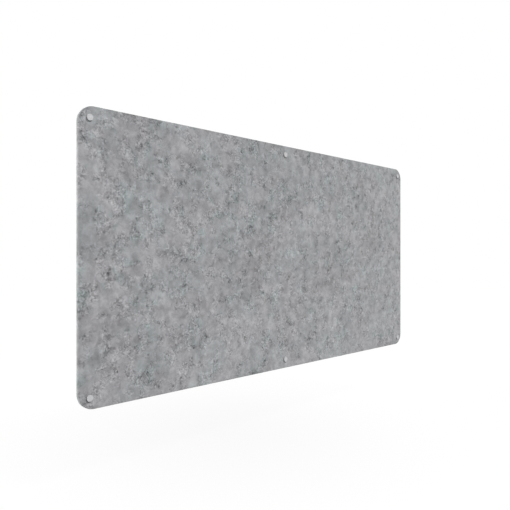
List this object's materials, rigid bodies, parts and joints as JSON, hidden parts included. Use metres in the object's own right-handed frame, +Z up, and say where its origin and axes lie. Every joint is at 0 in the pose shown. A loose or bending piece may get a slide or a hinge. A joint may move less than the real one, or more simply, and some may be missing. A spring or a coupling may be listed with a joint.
{
  "type": "acoustic pinboard",
  "caption": "Wall-mounted acoustic pinboard: a flat pressed-felt board with rounded corners, held off the wall by round metal standoffs.",
  "frame": {"origin": "on the wall's plane, at the middle of the rectangle of the four corner screws, which is also the middle of the board", "axes": "+Y points into the wall, square to it, and the board's front faces -Y; +Z is up; +X runs along the board's width, to the right as seen from the front"},
  "size_m": [1.8, 0.0715, 0.9],
  "materials": {
    "felt": "pressed polyester felt, mottled cool mid grey, matt, with dark and light specks",
    "cap_metal": "matt silver, evenly blasted and anodised",
    "washer_plastic": "milky uncoloured nylon, satin",
    "spacer_metal": "matt silver, turned",
    "screw_steel": "bright zinc plated"
  },
  "bodies": {
    "root": {"felt_board": "felt", "cap_top_left": "cap_metal", "cap_top_middle": "cap_metal", "cap_top_right": "cap_metal", "cap_bottom_left": "cap_metal", "cap_bottom_middle": "cap_metal", "cap_bottom_right": "cap_metal", "front_washer_top_left": "washer_plastic", "front_washer_top_middle": "washer_plastic", "front_washer_top_right": "washer_plastic", "front_washer_bottom_left": "washer_plastic", "front_washer_bottom_middle": "washer_plastic", "front_washer_bottom_right": "washer_plastic", "rear_washer_top_left": "washer_plastic", "rear_washer_top_middle": "washer_plastic", "rear_washer_top_right": "washer_plastic", "rear_washer_bottom_left": "washer_plastic", "rear_washer_bottom_middle": "washer_plastic", "rear_washer_bottom_right": "washer_plastic", "spacer_top_left": "spacer_metal", "spacer_top_middle": "spacer_metal", "spacer_top_right": "spacer_metal", "spacer_bottom_left": "spacer_metal", "spacer_bottom_middle": "spacer_metal", "spacer_bottom_right": "spacer_metal", "wall_screws": "screw_steel"}
  },
  "joints": []
}
